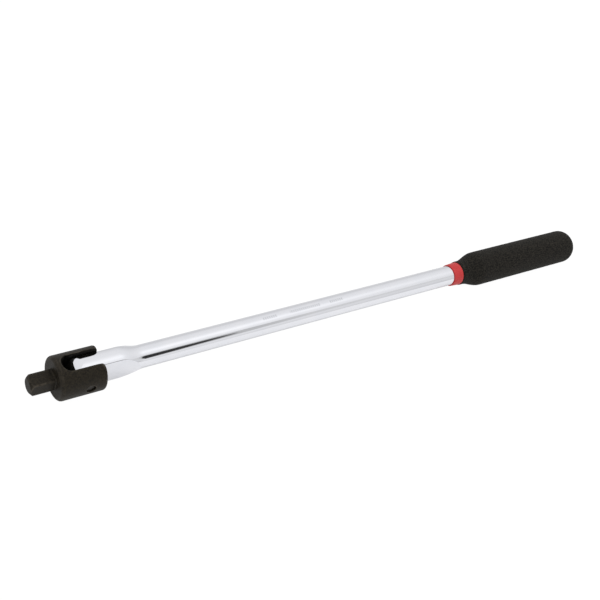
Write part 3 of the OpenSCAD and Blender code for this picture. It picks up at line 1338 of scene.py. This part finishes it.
    def plunger(self) -> bpy.types.Object:
        """The round-nosed plunger that drags on the bottom of the head's slot.

        Returns:
            The plunger's object.
        """
        low, high = node_span("friction_plunger")
        tip, end = float(low[0]), float(high[0])
        nose, guide, round_r = 2.0, float(high[1]), 3.0
        lip = end - 3.0
        sweep = np.linspace(0, math.asin((nose - 0.15) / round_r), 10)
        crown = np.column_stack([tip + round_r - round_r * np.cos(sweep),
                                 round_r * np.sin(sweep)])
        rest = rounded_path([(crown[-1][0], crown[-1][1], 0), (crown[-1][0] + 0.2, nose, 0.1),
                             (lip, nose, 0.1), (lip, guide, 0.15), (end, guide, 0.2),
                             (end, 0.0, 0)], 3)
        return MeshMaker.turned("drag_plunger", np.concatenate([crown, rest[1:]]), (0, 0, 0),
                                Axis.ALONG, 48)


class TurnedFoamSleeve(Rule):
    """Turns an outline about the bar and roughens its skin."""

    def __init__(self, bore: float) -> None:
        """Builds the rule.

        Args:
            bore: radius, in millimetres, up to which the skin stays smooth.
        """
        super().__init__("turned_foam_sleeve", {
            "Outline": "Object", "Rows": "Int", "Around": "Int", "Skin depth": "Float",
            "Skin grain": "Float", "Seed": "Float", "Surface": "Material"})
        given = self.given
        around = self.whole("ADD", given["Around"], 1)
        sheet = self.add("GeometryNodeMeshGrid", {
            "Size X": 1.0, "Size Y": 1.0, "Vertices X": given["Rows"], "Vertices Y": around})[0]
        index = self.add("GeometryNodeInputIndex")[0]
        place = self.add("GeometryNodeInputPosition")[0]
        spot = self.add("GeometryNodeSampleIndex", {
            0: self.add("GeometryNodeObjectInfo", {"Object": given["Outline"]})["Geometry"],
            1: place, 2: self.whole("DIVIDE_FLOOR", index, around)},
            data_type="FLOAT_VECTOR", domain="POINT")[0]
        along, _, reach = self.split(spot)
        share = self.calc("DIVIDE", self.whole("MODULO", index, around), given["Around"])
        angle = self.calc("MULTIPLY", share, 2 * math.pi)
        outward = self.join(0.0, self.calc("COSINE", angle), self.calc("SINE", angle))
        bare = self.vector("ADD", self.join(along, 0.0, 0.0),
                           self.vector("SCALE", outward, reach))
        turned = self.add("GeometryNodeSetPosition", {"Geometry": sheet, "Position": bare})[0]
        closed = self.add("GeometryNodeMergeByDistance", {
            "Geometry": turned, "Distance": 1e-5})[0]
        # the noise is read at the places that the points have after the merge
        noise = self.add("ShaderNodeTexNoise", {
            "Vector": place, "W": given["Seed"],
            "Scale": self.calc("DIVIDE", 1.0, given["Skin grain"]), "Detail": 2.0},
            noise_dimensions="4D")[0]
        _, y, z = self.split(place)
        outer = self.spread(self.vector("LENGTH", self.join(0.0, y, z)), 0.0, 1.0,
                            (bore + 0.2) * MM, (bore + 1.5) * MM)
        rough = self.calc("MULTIPLY", self.spread(noise, -1.0, 1.0, 0.25, 0.75),
                          given["Skin depth"])
        push = self.vector("SCALE", self.add("GeometryNodeInputNormal")[0],
                           self.calc("MULTIPLY", rough, outer))
        self.close(self.add("GeometryNodeSetPosition", {
            "Geometry": closed, "Offset": push})[0])

    def whole(self, operation: str, *values: object) -> bpy.types.NodeSocket:
        """One step of arithmetic on whole numbers.

        Args:
            operation: Blender's name for it.
            *values: numbers or sockets that it takes, in order.

        Returns:
            The result.
        """
        return self.add("FunctionNodeIntegerMath", dict(enumerate(values)),
                        operation=operation)[0]


@dataclass
class Grip(Assembly):
    """Foam sleeve pulled over the bar's end, and the coloured ring that closes its front."""

    bore: float = 9.55
    start_x: float = 439.0
    end_x: float = 600.0
    radius: float = 16.8
    neck_radius: float = 11.7
    neck_length: float = 4.0
    shoulder: float = 22.0
    end_radius: float = 13.0
    rim_radius: float = 1.0
    end_wall: float = 10.0
    end_gap: float = 0.05
    hub: float = 0.25
    around: int = 192
    skin_step: float = 0.8
    skin_depth: float = 0.09
    skin_grain: float = 2.6
    seed: int = 11
    ring_front: float = 0.9
    ring_edge: float = 0.6

    @classmethod
    def from_frame(cls) -> "Grip":
        """Takes the grip's place and size from the frame.

        Returns:
            The grip with those sizes.
        """
        low, high = node_span("foam_grip")
        return cls(start_x=float(low[0]), end_x=float(high[0]), radius=float(high[1]))

    def outline(self) -> list[tuple[float, float]]:
        """Outer outline of the sleeve, from its front rim to the middle of its closed end.

        Returns:
            Place along the bar and radius of each point.
        """
        ease, top = self.skin_depth, self.radius - self.skin_depth
        rows = []
        for a in math.pi / 2 * np.linspace(1, 0, 6):
            rows.append((self.start_x + self.rim_radius * (1 - math.sin(a)),
                         self.neck_radius - self.rim_radius * (1 - math.cos(a))))
        x = self.start_x + self.rim_radius
        flank = self.start_x + self.neck_length
        curve_start = self.end_x - self.end_radius
        while x < curve_start - self.skin_step:
            x += self.skin_step
            t = min(max((x - flank) / self.shoulder, 0), 1)
            rise = (1 - math.cos(math.pi * t)) / 2
            rows.append((x, self.neck_radius + (top - self.neck_radius) * rise))
        for a in np.linspace(0, math.pi / 2, 28):
            rows.append((curve_start + (self.end_radius - ease) * math.sin(a),
                         top - self.end_radius + self.end_radius * math.cos(a)))
        return rows + [(self.end_x - ease, r)
                       for r in np.linspace(top - self.end_radius, self.hub, 6)[1:]]

    def sleeve(self, surface: bpy.types.Material) -> bpy.types.Object:
        """Runs the sleeve's rule on its closed outline.

        Args:
            surface: the foam's material.

        Returns:
            The sleeve's object.
        """
        outer = self.outline()
        inner_end = self.end_x - self.end_wall + self.end_gap
        inside = [(inner_end, self.hub), (inner_end, self.bore)]
        inside += [(x, self.bore) for x in np.linspace(inner_end, self.start_x, 40)[1:]]
        rows = [*outer, *inside, outer[0]]
        line = bpy.data.meshes.new("sleeve_outline")
        line.from_pydata([(x * MM, 0.0, r * MM) for x, r in rows], [], [])
        guide = linked("sleeve_outline", line)
        sleeve = TurnedFoamSleeve(self.bore).grow("foam_grip_sleeve", {
            "Outline": guide, "Rows": len(rows), "Around": self.around,
            "Skin depth": self.skin_depth * MM, "Skin grain": self.skin_grain * MM,
            "Seed": float(self.seed), "Surface": surface})
        bpy.data.objects.remove(guide)
        return sleeve

    def ring(self) -> bpy.types.Object:
        """The slightly tapered ring, with soft outer edges and a fine parting line.

        Returns:
            The ring's object.
        """
        low, high = node_span("grip_ring")
        start, end, rear = float(low[0]), float(high[0]), float(high[1])
        front = self.bore + self.ring_front
        slope = (rear - front) / (end - start)
        part = start + 0.72 * (end - start)
        line_r = front + slope * (part - start)
        outline = rounded_path([
            (start + 0.4, self.bore, 0), (start, self.bore, 0.1), (start, front, self.ring_edge),
            (part - 0.25, line_r - slope * 0.25, 0.05), (part, line_r - 0.09, 0.05),
            (part + 0.25, line_r + slope * 0.25, 0.05), (end, rear, self.ring_edge),
            (end, self.bore, 0.1), (start + 0.4, self.bore, 0)], 5)[:-1]
        return MeshMaker.turned("front_ring", outline, (0, 0, 0), Axis.ALONG, 128, ring=True)

    def build(self) -> None:
        """Makes and dresses the ring and the foam sleeve."""
        self.keep(self.ring(), MouldedPolypropylene().material(), "handle", "grip_ring",
                  "ring_plastic")
        foam = NitrileFoam().material()
        sleeve = self.keep(self.sleeve(foam), foam, "handle", "foam_grip", "grip_foam")


# --------------------------------------------------------------------------- studio


@dataclass
class Studio:
    """Pale floor, soft tent and soft box, two cards for the chrome, and the camera.

    A row of dark_edges or grey_edges says, for a place along the bar in millimetres, between
    which two places across the bar the card shows, and how bright it is there.
    """

    camera_place: tuple[float, float, float] = (-0.22923, -0.41035, 0.63189)
    azimuth: float = -48.987
    elevation: float = 44.278
    roll: float = 24.540
    lens: float = 60.610
    floor_half: float = 6.0
    bar_radius: float = 9.5
    tent: tuple[tuple[float, float], ...] = (
        (0.0, 0.67), (0.12, 0.73), (0.35, 0.83), (0.6, 0.91), (1.0, 0.95))
    hot_spot: tuple[float, float, float] = (0.42, -0.04, 0.9)
    hot_spot_power: float = 26.0
    hot_spot_level: float = 0.22
    rim_level: float = 0.13
    dark_edges: tuple[tuple[float, float, float, float], ...] = (
        (40.0, 0.05, 0.3, 0.03), (92.0, 0.05, 0.29, 0.03), (110.0, 0.06, 0.28, 0.035),
        (130.0, 0.065, 0.255, 0.045), (150.0, 0.075, 0.235, 0.06), (165.0, 0.09, 0.22, 0.12),
        (176.0, 0.11, 0.2, 0.25), (181.0, 0.15, 0.18, 0.4))
    grey_edges: tuple[tuple[float, float, float, float], ...] = (
        (40.0, 0.01, 0.35, 0.5), (130.0, 0.01, 0.31, 0.55), (175.0, 0.01, 0.28, 0.58),
        (215.0, 0.03, 0.25, 0.62), (260.0, 0.06, 0.24, 0.72), (330.0, 0.08, 0.23, 0.76),
        (430.0, 0.08, 0.23, 0.78))

    def build(self) -> None:
        """Puts the whole studio up."""
        self.world()
        self.floor()
        self.key_light()
        self.camera()
        self.card("dark_card", self.dark_edges, 420.0)
        self.card("grey_card", self.grey_edges, 440.0)
        bpy.context.scene.view_settings.view_transform = "Standard"

    @staticmethod
    def blank(owner: bpy.types.World | bpy.types.Material) -> Graph:
        """Turns nodes on for a world or a material, and empties its tree.

        Args:
            owner: the world or material.

        Returns:
            Its empty tree.
        """
        owner.use_nodes = True
        owner.node_tree.nodes.clear()
        return Graph(owner.node_tree)

    def world(self) -> None:
        """Soft tent of light: brightest overhead, dimmer low down, white where it is seen."""
        world = bpy.context.scene.world = bpy.data.worlds.new("soft_tent")
        sky = self.blank(world)
        way = sky.add("ShaderNodeTexCoord")["Generated"]
        _, behind, height = sky.split(way)
        ramp = add_node(sky.tree, "ShaderNodeValToRGB", {0: height})
        band = ramp.color_ramp
        while len(band.elements) < len(self.tent):
            band.elements.new(0.5)
        for element, (at, level) in zip(band.elements, self.tent):
            element.position = at
            element.color = (level, level, level * 1.01, 1.0)
        facing = sky.vector("DOT_PRODUCT", way, Vector(self.hot_spot).normalized())
        lobe = sky.calc("POWER", sky.calc("MAXIMUM", facing, 0.0), self.hot_spot_power)
        glow = sky.calc("MULTIPLY", lobe, self.hot_spot_level)
        rim = sky.spread(behind, 0.0, self.rim_level, -0.7, -0.9, "SMOOTHSTEP")
        total = sky.vector("ADD", ramp.outputs[0], sky.join(glow, glow, glow))
        total = sky.vector("ADD", total, sky.join(rim, rim, rim))
        seen = sky.add("ShaderNodeLightPath")["Is Camera Ray"]
        shown = sky.tint(seen, total, "#FFFFFF")
        back = sky.add("ShaderNodeBackground", {"Color": shown, "Strength": 1.0})[0]
        sky.add("ShaderNodeOutputWorld", {"Surface": back})

    def floor(self) -> None:
        """White table that the head rests on. It glows evenly white to the camera, so that shadows
        barely show; to mirrored and bounced rays its glow is painted dimmer under and behind the
        tool.
        """
        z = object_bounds()[0].z - 0.0002
        h = self.floor_half
        mesh = bpy.data.meshes.new("studio_floor")
        mesh.from_pydata([(-h, -h, z), (h, -h, z), (h, h, z), (-h, h, z)], [], [(0, 1, 2, 3)])
        material = bpy.data.materials.new("white_backlit_acrylic")
        top = self.blank(material)
        _, across, _ = top.split(top.add("ShaderNodeTexCoord")["Object"])
        # painted shade: the glow that the chrome mirrors falls from 0.47 in front of the tool to
        # 0.25 under and behind it (along +Y), and diffuse rays get 0.24 less; the camera sees an
        # even glow of 0.98
        rays = top.add("ShaderNodeLightPath")
        level = top.calc("MULTIPLY_ADD", rays["Is Diffuse Ray"], -0.24,
                         top.spread(across, 0.47, 0.25, -0.02, 0.0))
        sheets = []
        for colour, strength in (((0.48, 0.48, 0.485, 1.0), level),
                                 ((0.06, 0.06, 0.06, 1.0), 0.98)):
            matt = top.add("ShaderNodeBsdfDiffuse", {"Color": colour})[0]
            glow = top.add("ShaderNodeEmission", {"Strength": strength})[0]
            sheets.append(top.add("ShaderNodeAddShader", {0: matt, 1: glow})[0])
        mix = top.add("ShaderNodeMixShader", {0: rays["Is Camera Ray"], 1: sheets[0],
                                              2: sheets[1]})[0]
        top.add("ShaderNodeOutputMaterial", {"Surface": mix})
        mesh.materials.append(material)
        linked("studio_floor", mesh)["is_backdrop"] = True

    def key_light(self) -> None:
        """One large soft box overhead, a little towards the grip."""
        light = bpy.data.lights.new("overhead_soft_box", "AREA")
        light.shape, light.size, light.size_y = "RECTANGLE", 0.9, 0.5
        light.energy = 3.2
        lamp = linked("overhead_soft_box", light)
        lamp.location = (0.72, 0.22, 1.15)
        aim = Vector((0.3, 0.0, 0.0)) - lamp.location
        lamp.rotation_mode = "QUATERNION"
        lamp.rotation_quaternion = aim.to_track_quat("-Z", "Y")
        lamp.visible_glossy = False

    def camera(self) -> None:
        """The camera, from its measured place, direction, roll and lens."""
        az, el, roll = (math.radians(v) for v in (self.azimuth, self.elevation, self.roll))
        ahead = Vector((-math.sin(az) * math.cos(el), math.cos(az) * math.cos(el),
                        -math.sin(el)))
        camera = bpy.data.cameras.new("studio_camera")
        camera.lens, camera.sensor_width = self.lens, 36.0
        camera.dof.use_dof = False
        camera.clip_start = 0.01
        holder = linked("studio_camera", camera)
        holder.location = self.camera_place
        holder.rotation_mode = "QUATERNION"
        holder.rotation_quaternion = Quaternion(ahead, -roll) @ ahead.to_track_quat("-Z", "Y")
        bpy.context.scene.camera = holder

    def mirrored(self, x: float, share: float, distance: float) -> Vector:
        """Point that the camera sees mirrored in the round bar.

        Args:
            x: place along the bar, in millimetres.
            share: place across the bar as the camera sees it, from -1 to 1, the floor's side up.
            distance: how far along the mirrored ray the point is, in millimetres.

        Returns:
            The point on the mirrored ray, in metres.
        """
        eye = Vector(self.camera_place) / MM
        axis = Vector((1, 0, 0))
        foot = Vector((x, 0, 0))
        toward = eye - foot
        toward = (toward - axis * toward.dot(axis)).normalized()
        down = axis.cross(toward)
        if down.z > 0:
            down.negate()
        normal = toward * math.sqrt(1 - share * share) + down * share
        spot = foot + normal * self.bar_radius
        ray = (spot - eye).normalized()
        back = ray - normal * 2 * ray.dot(normal)
        return (spot + back * distance) * MM

    def card(self, name: str, edges: Sequence[tuple[float, float, float, float]],
             distance: float) -> None:
        """A card beside the camera, seen only in mirrors, as studios use on bright metal.

        Args:
            name: name of the card.
            edges: place along the bar, the two places across it where the card's edges show,
                and how bright the card is there.
            distance: how far the card stands off, in millimetres.
        """
        points = [tuple(self.mirrored(x, side, distance))
                  for x, low, high, _ in edges for side in (low, high)]
        faces = [(2 * i, 2 * i + 1, 2 * i + 3, 2 * i + 2) for i in range(len(edges) - 1)]
        mesh = bpy.data.meshes.new(name)
        mesh.from_pydata(points, [], faces)
        level = mesh.attributes.new("level", "FLOAT", "POINT")
        level.data.foreach_set("value", np.repeat([row[3] for row in edges], 2))
        card = linked(name, mesh)
        material = bpy.data.materials.new(name)
        face = self.blank(material)
        shade = face.add("ShaderNodeAttribute", attribute_name="level")["Fac"]
        glow = face.add("ShaderNodeEmission", {"Strength": shade})[0]
        face.add("ShaderNodeOutputMaterial", {"Surface": glow})
        mesh.materials.append(material)
        for ray in ("camera", "diffuse", "shadow", "transmission", "volume_scatter"):
            setattr(card, "visible_" + ray, False)
        card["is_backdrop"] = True


def main() -> None:
    logging.basicConfig(level=logging.INFO, format="%(name)s: %(message)s")
    Studio().build()
    for assembly in (SwivelHead.from_frame(), Lever.from_frame(), Grip.from_frame()):
        assembly.build()
        log.info("%s: %d pieces", type(assembly).__name__, len(assembly.pieces))


if __name__ == "__main__":
    main()
